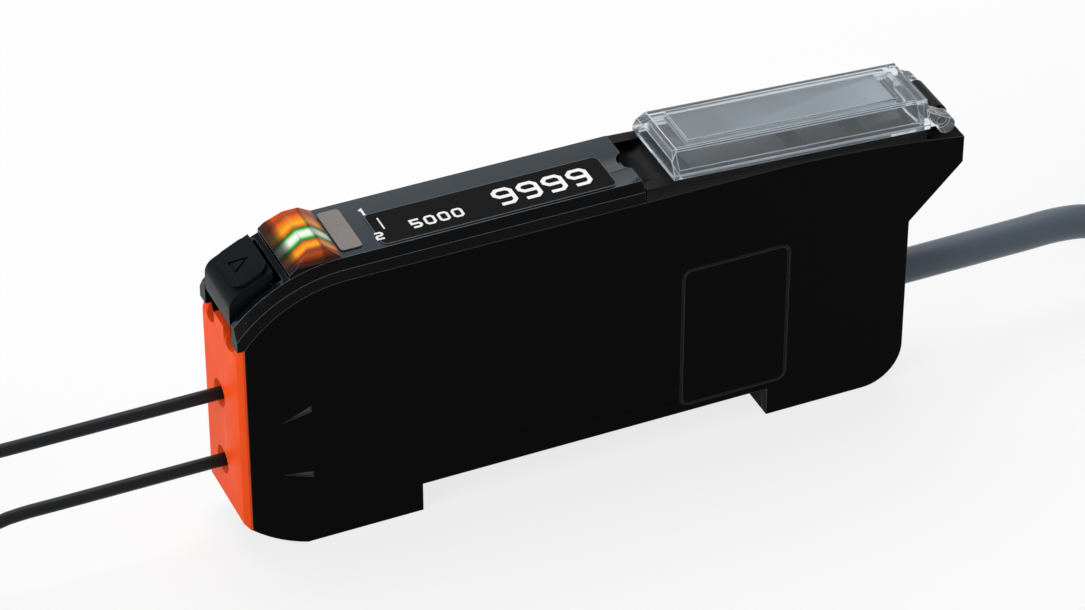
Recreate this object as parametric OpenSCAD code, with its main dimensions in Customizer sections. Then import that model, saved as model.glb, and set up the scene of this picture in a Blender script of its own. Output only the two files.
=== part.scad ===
// Slim fibre optic sensor amplifier for a 35 mm rail, with its two fibres and its power cable
// Millimetres. X runs from the fibre end to the cable end, Y across the case, Z up from the feet.
// The modules work from the front face of the case; place() then centres the case on the origin.

/* [Case] */
// Length of the lower case, front face to rear face
body_l = 70; // [66:0.5:76]
// Reach of the upper tail beyond the rear face
tail_l = 5.6; // [4.8:0.1:7]
// Width of the case
case_w = 9.8; // [9.6:0.1:12]
// Height of the case sides above the feet
case_h = 29.7; // [28.5:0.1:33]
// Thickness of the moulded case walls
wall = 1.2; // [1:0.05:1.4]
// Thickness of the flat side cover
plate_t = 1.2; // [1:0.05:1.4]
// Radius of the arch over the nose
nose_r = 13; // [12.5:0.1:14]
// Distance from the front face to where the arch runs level
nose_l = 11; // [10:0.1:11.6]
// Radius of the long curve that lowers the tail
tail_arch_r = 135; // [110:1:200]
// Distance from the front face to where the tail starts to fall
tail_arch_x = 53; // [48:0.5:58]
// Height of the rear face, up to the slanted underside of the tail
rear_h = 19.2; // [17:0.1:20]
// Radius of the lower rear corner
heel_r = 4.3; // [3:0.1:6]
// Radius of the lower front corner
toe_r = 15.5; // [12:0.1:20]
// Height of the lower front corner
toe_h = 3.9; // [3:0.1:4.2]
// Length of the lower front corner
toe_l = 6.2; // [5:0.1:8]
// Clearance round pieces that are pushed into the case
fit_gap = 0.1; // [0.05:0.01:0.15]
// Clearance between moving pieces
move_gap = 0.3; // [0.25:0.01:0.35]

/* [Rail slot] */
// Distance from the front face to the slot
slot_x = 18.2; // [17:0.1:20]
// Length of the slot
slot_l = 36.8; // [36.4:0.1:38]
// Height of the slot above the feet
slot_h = 3.2; // [3:0.1:4]
// Width of the rail that the slot takes
rail_w = 35; // [34.8:0.1:35.2]
// Thickness of the rail's lips
rail_t = 1; // [0.8:0.1:1.3]
// Reach of each claw under a rail lip
claw_reach = 0.9; // [0.6:0.1:1.2]
// Width of the claws, measured from the far wall
claw_w = 4.6; // [3:0.1:6]

/* [Fibre inlet] */
// Thickness of the orange front cap
cap_t = 0.7; // [0.5:0.05:0.9]
// Depth of the inlet block behind the front face
inlet_l = 7.4; // [6.8:0.1:7.6]
// Height of the lower fibre
fibre_z = 8; // [7.6:0.1:8.6]
// Distance between the two fibres
fibre_pitch = 8; // [7.5:0.1:8.4]
// Offset of the fibres towards the far wall
fibre_y = 0.8; // [0.4:0.1:1]
// Diameter of a fibre
fibre_d = 1.3; // [1:0.1:1.4]
// Clearance round a fibre in its hole
fibre_gap = 0.1; // [0.08:0.01:0.15]
// Length of the tapered mouth of a fibre hole
mouth_l = 1.2; // [0.8:0.1:1.5]
// Spread of the tapered mouth of a fibre hole
mouth_r = 0.7; // [0.5:0.05:0.9]
// Radius of the two scoops in the cap's top edge
scoop_r = 1.25; // [1:0.05:1.4]
// Height of the tongue between the scoops above the cap's corners
tongue_h = 0.6; // [0.4:0.05:0.8]

/* [Lock lever] */
// Radius of the lever's pivot barrel
lever_r = 1.4; // [1.3:0.05:1.5]
// Radius of the lever's pivot stubs
stub_r = 0.6; // [0.5:0.05:0.7]
// Running clearance of pivot stubs in their holes
pivot_gap = 0.05; // [0.03:0.01:0.08]
// Height of the lever's brow above its pivot
brow_h = 1.5; // [1.3:0.05:1.7]
// Radius of the lever's brow
brow_r = 1.6; // [1.5:0.05:1.8]
// Slope of the lever's pad
pad_slope = 26; // [20:1:30]
// Depth of the lever from its front to the rear of its pad
lever_l = 4.4; // [4.2:0.05:4.5]
// Thickness of the raised pad
pad_t = 0.4; // [0.3:0.05:0.5]
// Travel of the fibre clamp between locked and open
clamp_travel = 0.4; // [0.3:0.05:0.5]
// Thickness of the fibre clamp
clamp_t = 1.4; // [1.2:0.1:1.6]
// Width of the fibre clamp
clamp_w = 3.4; // [3:0.1:3.8]

/* [Top cover] */
// Height of the smoked cover above the case sides
cover_rise = 2.05; // [1.8:0.05:2.3]
// Thickness of the smoked cover
cover_t = 1; // [0.9:0.05:1.1]
// Bevel along the long edges of the smoked cover
cover_bevel = 0.8; // [0.5:0.05:1]
// Distance from the front face to the rear end of the smoked cover
cover_end = 41.4; // [41:0.1:42]
// Width of each arm of the cover beside the lever
arm_w = 1.4; // [1.2:0.05:1.5]
// Distance from the front face to the wall behind the lever
recess_l = 5.2; // [5.1:0.05:5.6]
// Height of the lens over the indicator lamps above the cover
lens_rise = 1.25; // [1:0.05:1.5]
// Length of the lens over the indicator lamps
lens_l = 5.3; // [5:0.1:5.8]
// Inward lean of the lens's sides
lens_lean = 0.7; // [0.5:0.05:0.9]
// Thickness of the lens over the light guides
lens_t = 0.6; // [0.5:0.05:0.8]

/* [Display] */
// Length of the display glass
display_l = 25; // [24:0.1:25.6]
// Width of the display glass
display_w = 5.8; // [5.2:0.1:6]
// Thickness of the display glass
display_t = 1.4; // [1.2:0.1:1.6]
// Distance from the front face to the display glass
display_x = 15; // [14.6:0.1:15.4]
// Air gap between the display glass and the smoked cover
display_gap = 0.45; // [0.3:0.05:0.6]
// Length of the small legend panel
legend_l = 2.2; // [1.8:0.1:2.5]
// Width of the small legend panel
legend_w = 6.4; // [5.5:0.1:6.8]
// Thickness of the legend panel
legend_t = 0.15; // [0.1:0.01:0.2]

/* [Indicator lamps] */
// Distance between neighbouring light guides
guide_pitch = 2.3; // [2.1:0.05:2.4]
// Width of a light guide
guide_w = 1.4; // [1.2:0.05:1.5]
// Length of a light guide
guide_l = 2.8; // [2.5:0.1:2.9]
// Length of the slope at the front of a light guide's top
guide_slope_l = 1.2; // [1:0.05:1.4]
// Fall of the slope at the front of a light guide's top
guide_slope_h = 1; // [0.9:0.05:1.2]
// Height of an indicator lamp on the board
lamp_h = 0.6; // [0.5:0.05:0.8]

/* [Circuit boards] */
// Thickness of the circuit boards
board_t = 0.8; // [0.6:0.05:1]
// Distance of the main board from the far wall
board_off = 1.7; // [1.4:0.1:2]
// Height of the header that joins the two boards
header_h = 1.2; // [1:0.1:1.5]
// Height of a switch on the board
switch_h = 1.2; // [1:0.05:1.4]
// Side of a switch body
switch_l = 3; // [2.6:0.1:3.2]

/* [Keys] */
// Thickness of the key deck's floor
floor_t = 0.7; // [0.6:0.05:0.8]
// Thickness of the key deck's inner side walls
deck_wall = 0.6; // [0.6:0.05:0.8]
// Length of a push key
key_l = 4.3; // [4:0.1:4.6]
// Width of a push key
key_w = 4.4; // [4:0.1:4.6]
// Height of a push key above the deck's floor
key_h = 2; // [1.6:0.1:2.2]
// Travel of a push key
key_travel = 0.3; // [0.2:0.05:0.35]
// Thickness of the flange that keeps a push key in
flange_t = 0.5; // [0.4:0.05:0.6]
// Width of the flange round a push key
flange_w = 0.6; // [0.5:0.05:0.65]
// Distance between the two push keys
key_pitch = 6.3; // [6:0.1:6.6]
// Length of the rocker key
rocker_l = 10; // [9:0.1:10.4]
// Height of the rocker key's middle above the deck's floor
rocker_h = 2.3; // [2.1:0.1:2.5]
// Distance of the rocker's plungers from its middle
plunger_off = 3.6; // [3.3:0.1:3.8]
// Radius of the rocker's pivot stubs
rocker_stub_r = 0.5; // [0.4:0.05:0.55]

/* [Dust cover] */
// Height of the dust cover
lid_h = 2.65; // [2.4:0.05:2.9]
// Thickness of the dust cover
lid_t = 0.8; // [0.7:0.05:0.9]
// Distance from the front face to the dust cover
lid_x = 44.4; // [44:0.1:44.8]
// Slope of the dust cover down to the tail
lid_slope = 3.5; // [3:0.1:4]
// Inward lean of the dust cover's sides
lid_lean = 1.25; // [0.9:0.05:1.5]
// Distance of the hinge from the end of the tail
hinge_in = 1.8; // [1.6:0.05:2]
// Height of the hinge above the tail's side edge
hinge_up = 1.2; // [1.2:0.05:1.5]
// Radius of the hinge arms' ends
arm_r = 0.9; // [0.8:0.05:0.9]
// Radius of the hinge stubs
hinge_stub_r = 0.5; // [0.4:0.05:0.55]
// Half width of the hinge lug between the arms
lug_w = 2.4; // [2:0.1:2.6]
// Distance of the label from the dust cover's front end
label_front = 2.2; // [2:0.1:3]
// Distance of the label from the dust cover's rear end
label_rear = 2.8; // [2.6:0.1:4]
// Width of the label under the dust cover
label_w = 5.2; // [4.6:0.1:5.4]
// Thickness of the label
label_t = 0.2; // [0.1:0.05:0.3]

/* [Cords] */
// Diameter of the power cable
cable_d = 3.5; // [3.2:0.1:3.8]
// Height of the power cable where it leaves the rear face
cable_z = 9.8; // [9:0.1:10.5]
// Mean diameter of a fibre coil, in fibre diameters
fibre_coil_k = 11; // [10:0.25:11.5]
// Inner radius of the folds in the cable's hank, in cable diameters
cable_fold_k = 3; // [3:0.05:3.3]
// Straight run of the cable's hank, from fold to fold
cable_run = 57.2; // [52:0.1:70]
// Thickness of the ties round the coils and the hank
tie_t = 0.3; // [0.2:0.05:0.5]
// Diameter of a stripped lead
lead_d = 0.9; // [0.8:0.05:1]
// Length of the stripped leads
lead_l = 16; // [12:1:16]
// Radius of a fibre's sensing head
head_r = 1.5; // [1.3:0.1:1.6]
// Length of a fibre's sensing head
head_l = 10; // [8:0.5:10]

/* [Hidden] */
$fn = 64;
total_l = body_l + tail_l;
near = -case_w / 2;
far = case_w / 2;
near_in = near + plate_t;
far_in = far - wall;
mid_in = (near_in + far_in) / 2;
inner_w = far_in - near_in;

// Nose arch: centre, and its height at a distance from the front face
nose_z = case_h - nose_r;
function arch_z(r, d) = nose_z + sqrt(r * r - pow(nose_l - d, 2));
inlet_top = arch_z(nose_r, cap_t);
cover_r = nose_r + cover_rise;
cover_top = case_h + cover_rise;

// Toe curve: its centre, from the two points that it runs through
toe_half = sqrt(toe_l * toe_l + toe_h * toe_h) / 2;
toe_run = sqrt(toe_r * toe_r - toe_half * toe_half) / (2 * toe_half);
toe_cx = toe_l / 2 + toe_h * toe_run;
toe_cz = toe_h / 2 + toe_l * toe_run;

// Tail: height of its side edge at a distance from the front face
function tail_z(d) = case_h - tail_arch_r + sqrt(pow(tail_arch_r, 2) - pow(max(0, d - tail_arch_x), 2));

// Lock lever
lever_w = case_w - 2 * (arm_w + move_gap);
pivot_x = lever_r;
pivot_z = inlet_top + tongue_h + move_gap + lever_r;
pad_run = lever_l - lever_r;
brow_x = brow_r - lever_r;
brow_u = brow_x - brow_r * sin(pad_slope);
brow_v = brow_h + brow_r * cos(pad_slope);
pad_v = brow_v + (pad_run - brow_u) * tan(pad_slope);

// Fibre holes and clamp
hole_r = fibre_d / 2 + fibre_gap;
fibre_heights = [fibre_z, fibre_z + fibre_pitch];
clamp_x = inlet_l / 2;
clamp_bottom = fibre_z - 2 * fibre_d;

// Finger at the rear of the lever's barrel, which holds the clamp down while the lever is closed
cam_turn = 25;
cam_l = clamp_x + clamp_t / 2 - pivot_x;
cam_drop = lever_r * sin(cam_turn);
clamp_top = pivot_z - cam_drop - move_gap;

// Hinge of the dust cover and the line that the deck's rim and the cover's lower edge follow
hinge_x = total_l - hinge_in;
hinge_z = tail_z(hinge_x) + hinge_up;
function rim_z(d) = hinge_z + (hinge_x - d) * tan(lid_slope) - move_gap / 2;
lid_low = move_gap / 2;
lid_l = (hinge_x - lid_x) / cos(lid_slope);
lid_end = -arm_r - 3.5 * move_gap;
label_l = lid_l + lid_end - label_front - label_rear;
lid_half = case_w / 2 - 0.15;
deck_x = cover_end + fit_gap;

// Height stack below the key deck, down to the upper board
floor_top = hinge_z - arm_r - move_gap;
floor_low = floor_top - floor_t;
flange_top = floor_low - fit_gap;
switch_top = flange_top - flange_t - key_travel - fit_gap / 2;
board_top = switch_top - switch_h;
board_low = board_top - board_t;
board_x = recess_l + cover_t + move_gap;
board_end = total_l - wall - 3;
display_top = cover_top - cover_t - display_gap;
display_low = display_top - display_t;
ledge = 0.8;

// Keys
deck_in = inner_w / 2 - fit_gap - deck_wall;
rim_end = hinge_x - arm_r - 5 * move_gap;
teach_x = rim_end - lid_t - 2 * move_gap - key_l / 2;
menu_x = teach_x - key_pitch;
rocker_x = (lid_x + menu_x - key_l / 2) / 2 + lid_t / 2;
rocker_low = floor_top + 2 * move_gap;
rocker_pivot = rocker_low + rocker_stub_r;
rocker_w = 2 * deck_in - 2 * move_gap;
switch_places = [rocker_x - plunger_off, rocker_x + plunger_off, menu_x, teach_x];

// Light guides
guide_x = recess_l + cover_t + 0.5;
guide_top = cover_top + lens_rise - lens_t;
guide_low = board_top + lamp_h;
guide_rows = [-guide_pitch, 0, guide_pitch];
guide_half = guide_pitch + guide_w / 2 + fit_gap;

// Main board and optics
floor_in = slot_h + wall;
board_y = far_in - board_off - board_t;
main_x = inlet_l + 5.6;
main_end = body_l - wall - 6.4;
main_top = board_low - header_h;
optics_x = inlet_l + fit_gap;
optics_l = 4.4;
eye_r = 1.3;

// Cord routes: points chosen by hand, from the case's origin
fibre_start = inlet_l - total_l / 2;
upper_route = [
    [fibre_start, fibre_y, fibre_z + fibre_pitch], [-34, fibre_y, 16], [-38, fibre_y, 16],
    [-42, fibre_y, 16], [-46, fibre_y, 16], [-50, fibre_y, 16], [-54, fibre_y, 16],
    [-58, fibre_y, 16], [-62, fibre_y, 16], [-64.4, fibre_y, 15.6], [-66.5, fibre_y, 14.4],
    [-68.1, fibre_y, 12.5], [-70.4, fibre_y, 8.5], [-72.7, fibre_y, 4.5], [-74.3, fibre_y, 2.6],
    [-76.4, fibre_y, 1.4], [-78.8, fibre_y, 0.95], [-85, fibre_y, 0.95], [-90.8, fibre_y, 0.95]
];
lower_route = [
    [fibre_start, fibre_y, fibre_z], [-34, fibre_y, 8], [-38, fibre_y, 8], [-42, fibre_y, 8],
    [-46, fibre_y, 8], [-50, fibre_y, 8], [-54, fibre_y, 8], [-58, fibre_y, 8],
    [-60.4, 0.9, 7.6], [-62.5, 1.2, 6.4], [-64.1, 1.6, 4.5], [-65.7, 2.1, 2.6],
    [-67.8, 2.8, 1.4], [-70.2, 3.5, 0.95]
];
cable_start = body_l - total_l / 2;
cable_route = [
    [cable_start, 0, cable_z], [38, 0, 9.8], [44, 0, 9.8], [48, 0, 9.8], [52, 0, 9.8],
    [55.6, -0.2, 9.35], [59, -0.8, 8.05], [62, -1.5, 6], [65, -2.2, 3.85], [66.8, -2.6, 2.95],
    [69, -2.95, 2.3], [71.2, -3.1, 2.05]
];

// Fibre coils: turns side by side and on top of each other, the outermost one in line with its fibre
coil_columns = 4;
fibre_layers = 6;
fibre_coil_r = fibre_coil_k * fibre_d / 2;
outer_turn_r = fibre_coil_r + (coil_columns - 1) / 2 * fibre_d;
upper_coil_at = [-96, fibre_y + outer_turn_r];
lower_coil_at = [-75, 4 + outer_turn_r];
fibre_coil_top = tie_t + fibre_layers * fibre_d;
// Where a sensing head starts on its coil, in coil radii, and its heading
head_from = [0.21, 0.96];
head_turn = -40;

// Cable hank: two columns of turns folded at both ends, the outer one a layer higher than the inner
cable_layers = 6;
fold_in = (cable_fold_k - 0.5) * cable_d;
fold_out = fold_in + 2 * cable_d;
hank_at = [82, fold_out - cable_d / 2 - 3.1];
hank_top = tie_t + (cable_layers + 1) * cable_d;
hank_tie_w = 3;
// Where the stripped leads start on the hank's inner column, from its first fold and inwards of its middle
lead_from = [36, 0.22];
lead_pitch = 1.05;

// Moves a piece from the front-face frame to the part's own frame
module place() {
    translate([-total_l / 2, 0, 0]) children();
}

// Extrudes a side profile, drawn as length and height, between two places across the width
module slab(y0, y1) {
    translate([0, y1, 0]) rotate([90, 0, 0]) linear_extrude(y1 - y0) children();
}

// Straight round bar or hole across the width
module cross_bar(r, y0, y1) {
    translate([0, y1, 0]) rotate([90, 0, 0]) cylinder(r = r, h = y1 - y0);
}

// Straight round bar or hole along the length
module long_bar(r, l) {
    rotate([0, 90, 0]) cylinder(r = r, h = l);
}

// Rectangle with round corners, centred
module rounded_rect(l, w, r) {
    square([l - 2 * r, w], center = true);
    square([l, w - 2 * r], center = true);
    for (x = [-1, 1], y = [-1, 1])
        translate([x * (l / 2 - r), y * (w / 2 - r)]) circle(r = r);
}

// Side outline of the case, drawn inwards by a distance
module case_outline(inset = 0) {
    big = total_l + case_h;
    under_z = rear_h + inset * (sqrt(2) - 1);
    difference() {
        intersection() {
            translate([inset, inset]) square([total_l - 2 * inset, case_h - 2 * inset]);
            // Arch over the nose
            union() {
                translate([nose_l, nose_z]) circle(r = nose_r - inset, $fn = 180);
                translate([nose_l, 0]) square(big);
                square([nose_l, nose_z]);
            }
            // Long curve down to the tail
            union() {
                translate([tail_arch_x, case_h - tail_arch_r])
                    circle(r = tail_arch_r - inset, $fn = 720);
                square([tail_arch_x, case_h]);
            }
            // Lower rear corner
            union() {
                translate([body_l - heel_r, heel_r]) circle(r = heel_r - inset);
                square([body_l - heel_r, big]);
                translate([0, heel_r]) square(big);
            }
            // Lower front corner
            union() {
                translate([toe_cx, toe_cz]) circle(r = toe_r - inset, $fn = 180);
                translate([toe_l, 0]) square(big);
                translate([0, toe_h]) square(big);
            }
        }
        // Space under the tail, with its slanted ceiling
        polygon([
            [body_l - inset, -1], [body_l - inset, under_z],
            [body_l - inset + big, under_z + big], [body_l + big, -1]
        ]);
        // Rail slot
        translate([slot_x - inset, -1]) square([slot_l + 2 * inset, slot_h + inset + 1]);
    }
}

// Case outline without the strip that the orange cap takes at the front
module cut_outline(inset = 0) {
    intersection() {
        case_outline(inset);
        translate([cap_t, 0]) square([total_l, case_h]);
    }
}

// Region of the side outline that stays open to the covers and the fibre inlet
module open_region() {
    translate([-1, toe_h]) square([inlet_l + 1, case_h]);
    translate([-1, inlet_top - wall]) square([nose_l + 1, case_h]);
    translate([-1, board_low]) square([total_l - wall + 1, case_h]);
}

// Black case: far wall, floor, rear wall and rail claws in one moulding
module main_case() {
    claw_z = slot_h - rail_t - fit_gap;
    rail_play = (slot_l - rail_w) / 2 - fit_gap;
    color("#141416") place() {
        difference() {
            union() {
                slab(far_in, far) cut_outline();
                slab(near_in, far) difference() {
                    cut_outline();
                    case_outline(wall);
                    open_region();
                }
                // Ledge under the upper board
                translate([board_x + 1, far_in - ledge, board_low - ledge])
                    cube([board_end - board_x - 2, ledge, ledge]);
                // Posts that hold the main board off the far wall
                for (x = [main_x + 3, main_end - 3], z = [floor_in + 3, main_top - 3])
                    translate([x, board_y + board_t, z]) rotate([-90, 0, 0])
                        cylinder(r = 1, h = board_off);
            }
            // Hole for the cable grommet
            translate([body_l - wall - 1, 0, cable_z])
                long_bar(cable_d / 2 + 0.3 + fit_gap, wall + 2);
        }
        // Rail claws, each with a locating pad above it
        translate([slot_x, far - claw_w, 0]) rail_claw(claw_z, rail_play);
        translate([slot_x + slot_l, far - claw_w, 0])
            mirror([1, 0, 0]) rail_claw(claw_z, rail_play);
    }
}

// One rail claw, standing on the slot's front wall and pointing along X
module rail_claw(claw_z, rail_play) {
    reach = rail_play + claw_reach;
    translate([0, claw_w, 0]) rotate([90, 0, 0]) linear_extrude(claw_w) polygon([
        [0, 0], [rail_play, 0], [reach, claw_z - claw_reach / 2], [reach, claw_z],
        [rail_play, claw_z], [rail_play, slot_h], [0, slot_h]
    ]);
}

// Black flat side cover with a framed panel line and two fibre marks
module side_cover() {
    line_w = 0.2;
    line_d = 0.15;
    panel_l = 11.5;
    panel_h = 16.4;
    panel_x = body_l - 13 - panel_l / 2;
    panel_z = slot_h + 0.8 + panel_h / 2;
    mark_x = inlet_l - 2.9;
    mark_l = 2.5;
    color("#18181a") place() {
        difference() {
            slab(near, near_in) cut_outline();
            slab(near - 1, near + line_d) {
                translate([panel_x, panel_z]) difference() {
                    rounded_rect(panel_l, panel_h, 1);
                    rounded_rect(panel_l - 2 * line_w, panel_h - 2 * line_w, 1 - line_w);
                }
                for (side = [[fibre_heights[0], -1], [fibre_heights[1], 1]])
                    translate([mark_x, side[0]]) polygon([
                        [0, -0.8 * side[1]], [mark_l, 0.2 * side[1]], [mark_l, -0.4 * side[1]]
                    ]);
            }
        }
        // Ledge under the upper board
        translate([board_x + 1, near_in, board_low - ledge])
            cube([board_end - board_x - 2, ledge, ledge]);
    }
}

// Orange fibre inlet: front cap with scooped top edge, and the bored block behind it
module fibre_inlet() {
    block_low = max(toe_h, fibre_z - 3.2);
    color("#f4521c") place() difference() {
        union() {
            // Cap, chamfered along both upright edges
            intersection() {
                slab(near, far) intersection() {
                    case_outline();
                    square([cap_t, inlet_top + tongue_h]);
                }
                linear_extrude(case_h) polygon([
                    [0, near + 0.5], [0.5, near], [cap_t, near], [cap_t, far], [0.5, far], [0, far - 0.5]
                ]);
            }
            // Tongue between the scoops
            translate([0, -scoop_r, inlet_top - scoop_r])
                cube([cap_t, 2 * scoop_r, scoop_r + tongue_h]);
            // Block between the case walls
            translate([cap_t / 2, near_in + fit_gap, block_low])
                cube([inlet_l - cap_t / 2, inner_w - 2 * fit_gap, inlet_top - wall - block_low]);
        }
        // Scoops
        for (side = [-1, 1])
            translate([-1, side * 2 * scoop_r, inlet_top]) long_bar(scoop_r, cap_t + 1 + wall);
        // Fibre holes with tapered mouths
        for (z = fibre_heights) translate([0, fibre_y, z]) {
            translate([-1, 0, 0]) long_bar(hole_r, inlet_l + 2);
            rotate([0, 90, 0]) cylinder(r1 = hole_r + mouth_r, r2 = hole_r, h = mouth_l);
        }
        // Slot that guides the clamp
        translate([
            clamp_x - clamp_t / 2 - move_gap, fibre_y - clamp_w / 2 - move_gap,
            clamp_bottom - clamp_travel - move_gap
        ]) cube([clamp_t + 2 * move_gap, clamp_w + 2 * move_gap, case_h]);
    }
}

// Fibre clamp: plate with two windows, driven down and up by the lock lever
module fibre_clamp() {
    color("#3a3a3e") place() difference() {
        translate([clamp_x - clamp_t / 2, fibre_y - clamp_w / 2, clamp_bottom])
            cube([clamp_t, clamp_w, clamp_top - clamp_bottom]);
        for (z = fibre_heights) translate([clamp_x - clamp_t, fibre_y, z]) {
            long_bar(hole_r, 2 * clamp_t);
            translate([0, 0, -clamp_travel]) long_bar(hole_r, 2 * clamp_t);
            translate([0, -hole_r, -clamp_travel]) cube([2 * clamp_t, 2 * hole_r, clamp_travel]);
        }
    }
}

// Points of an arc, from one angle to another
function arc(centre, r, from, to, steps = 12) = [
    for (k = [0:steps]) let (turn = from + (to - from) * k / steps) centre + r * [cos(turn), sin(turn)]
];

// Side profile of the lock lever, drawn from its pivot: barrel, brow, rear of the pad and finger
module lever_profile() {
    polygon(concat(
        arc([0, 0], lever_r, 360 - cam_turn, 180),
        arc([brow_x, brow_h], brow_r, 180, 90 + pad_slope),
        [[pad_run, pad_v], [pad_run, pad_v - 1.1], [lever_r, brow_h]],
        [[lever_r, cam_drop], [cam_l, cam_drop / 3], [cam_l, -cam_drop]]
    ));
}

// Lock lever on two moulded stubs, with a raised pad and an engraved triangle
module lock_lever() {
    pad_l = (pad_run - brow_u) / cos(pad_slope);
    color("#1d1e20") place() translate([pivot_x, 0, pivot_z]) {
        slab(-lever_w / 2, lever_w / 2) lever_profile();
        cross_bar(stub_r, -lever_w / 2 - move_gap - arm_w / 2, lever_w / 2 + move_gap + arm_w / 2);
        translate([brow_u, 0, brow_v]) rotate([0, -pad_slope, 0]) difference() {
            translate([pad_l / 2, 0, -pad_t]) linear_extrude(2 * pad_t)
                rounded_rect(pad_l, lever_w - 2 * pad_t, 1.1);
            translate([pad_l / 2, 0, pad_t / 2]) linear_extrude(pad_t) difference() {
                polygon([[-1.1, -1], [-1.1, 1], [0.9, 0]]);
                polygon([[-0.85, -0.6], [-0.85, 0.6], [0.4, 0]]);
            }
        }
    }
}

// Black holder that sets the lamp and the light detector behind the fibre holes
module optics_holder() {
    low = wall;
    color("#202022") place() difference() {
        translate([optics_x, near_in + fit_gap, low])
            cube([optics_l, inner_w - 2 * fit_gap, fibre_heights[1] + 4 - low]);
        for (z = fibre_heights) translate([optics_x - 1, fibre_y, z]) {
            long_bar(hole_r, optics_l);
            translate([2, 0, 0]) long_bar(eye_r + fit_gap, optics_l);
        }
    }
}

// Round lamp or detector with a domed eye and a rear flange, looking towards the fibres
module round_eye() {
    rotate([0, 90, 0]) {
        translate([0, 0, eye_r]) cylinder(r = eye_r, h = optics_l - 1 - eye_r);
        translate([0, 0, eye_r]) sphere(r = eye_r);
    }
    translate([optics_l - 1, -eye_r, -eye_r]) cube([0.8, 2 * eye_r, 2 * eye_r]);
}

// Lamp that lights the upper fibre
module emitter_lamp() {
    color("#c8d8ff") place() translate([optics_x + 1, fibre_y, fibre_heights[1]]) round_eye();
}

// Light detector behind the lower fibre
module receiver_diode() {
    color("#2a2f4a") place() translate([optics_x + 1, fibre_y, fibre_heights[0]]) round_eye();
}

// Upright main circuit board
module main_board() {
    color("#1f6b3a") place() translate([main_x, board_y, floor_in])
        cube([main_end - main_x, board_t, main_top - floor_in]);
}

// Header that joins the two boards
module board_header() {
    color("#26262a") place() translate([28, board_y - 0.6, main_top])
        cube([10, board_t + 1.2, header_h]);
}

// Upper circuit board under the display and the keys
module display_board() {
    color("#1f6b3a") place() translate([board_x, near_in + fit_gap, board_low])
        cube([board_end - board_x, inner_w - 2 * fit_gap, board_t]);
}

// Frame that lifts the display glass to the smoked cover
module display_holder() {
    rim = 0.8;
    h = display_low - board_top;
    color("#222224") place() translate([display_x, mid_in - display_w / 2, board_top]) difference() {
        cube([display_l, display_w, h]);
        translate([rim, rim, -1]) cube([display_l - 2 * rim, display_w - 2 * rim, h + 2]);
    }
}

// Dark display glass
module display_glass() {
    color("#050506") place()
        translate([display_x + display_l / 2, mid_in, display_low]) linear_extrude(display_t)
            rounded_rect(display_l, display_w, 0.4);
}

// Small clear legend panel on the smoked cover, beside the lens
module legend_panel() {
    x = recess_l + cover_t / 2 + lens_l + 0.2;
    color("#8a8f96") place() translate([x + legend_l / 2, 0, cover_top]) linear_extrude(legend_t)
        rounded_rect(legend_l, legend_w, 0.4);
}

// Outer form of the smoked cover: bevelled disc over the nose and bevelled bar over the display
module cover_form(inset = 0) {
    r = cover_r - inset;
    half = case_w / 2 - inset;
    b = cover_bevel;
    intersection() {
        translate([nose_l, 0, nose_z]) rotate([90, 0, 0]) rotate_extrude($fn = 180) polygon([
            [0, -half], [r - b, -half], [r, -half + b], [r, half - b], [r - b, half], [0, half]
        ]);
        translate([0, -case_w, 0]) cube([nose_l, 2 * case_w, 2 * case_h]);
    }
    translate([nose_l, 0, nose_z]) rotate([90, 0, 90]) linear_extrude(cover_end - inset - nose_l)
        polygon([[-half, 0], [half, 0], [half, r - b], [half - b, r], [b - half, r], [-half, r - b]]);
}

// Outer form of the lens over the indicator lamps
module lens_form() {
    x = recess_l + cover_t / 2;
    top = cover_top + lens_rise;
    half = case_w / 2 - cover_bevel;
    low = arch_z(nose_r, x);
    intersection() {
        slab(-half, half) polygon([
            [x, low], [x, cover_top - cover_t / 2], [x + 0.42 * lens_l, top],
            [x + 0.72 * lens_l, top], [x + lens_l, cover_top], [x + lens_l, low]
        ]);
        rotate([90, 0, 90]) linear_extrude(2 * nose_l) polygon([
            [-half, low], [half, low], [half, cover_top], [half - lens_lean, top],
            [lens_lean - half, top], [-half, cover_top]
        ]);
    }
}

// Side profile of a light guide, drawn outwards by a distance
module guide_side(grow = 0) {
    top = guide_top + grow;
    end = guide_x + guide_l + grow;
    polygon([
        [guide_x - grow, guide_low], [end, guide_low], [end, top],
        [guide_x + guide_slope_l, top], [guide_x - grow, top - guide_slope_h]
    ]);
}

// Smoked top cover: two arms beside the lever, the lens and the display window in one moulding
module top_cover() {
    color("#23272e", 0.75) place() difference() {
        union() {
            cover_form();
            lens_form();
        }
        slab(near - 1, far + 1) case_outline();
        slab(near - 1, far + 1) translate([-1, 0]) square([total_l, inlet_top]);
        // Hollow behind the lever's recess
        intersection() {
            cover_form(cover_t);
            translate([recess_l + cover_t, -case_w, 0]) cube([total_l, 2 * case_w, 2 * case_h]);
        }
        // Pocket for the light guides, up into the lens
        slab(-guide_half, guide_half) guide_side(fit_gap);
        // Recess for the lever
        translate([-1, near + arm_w, 0]) cube([recess_l + 1, case_w - 2 * arm_w, 2 * case_h]);
        // Holes for the lever's stubs
        translate([pivot_x, 0, pivot_z]) cross_bar(
            stub_r + pivot_gap, near + arm_w / 2 - move_gap, far - arm_w / 2 + move_gap);
        // Round finger notch in the rear edge
        translate([cover_end + 0.6, -0.4, case_h + cover_rise / 2])
            cylinder(r = 1.5, h = cover_rise);
    }
}

// Indicator lamps on the upper board, and the light guides that stand over them
module indicator_lamp(row) {
    color("#e8e4d0") place()
        translate([guide_x + guide_l / 2, guide_rows[row], board_top + lamp_h / 2])
            cube([1.6, 0.8, lamp_h], center = true);
}

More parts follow.
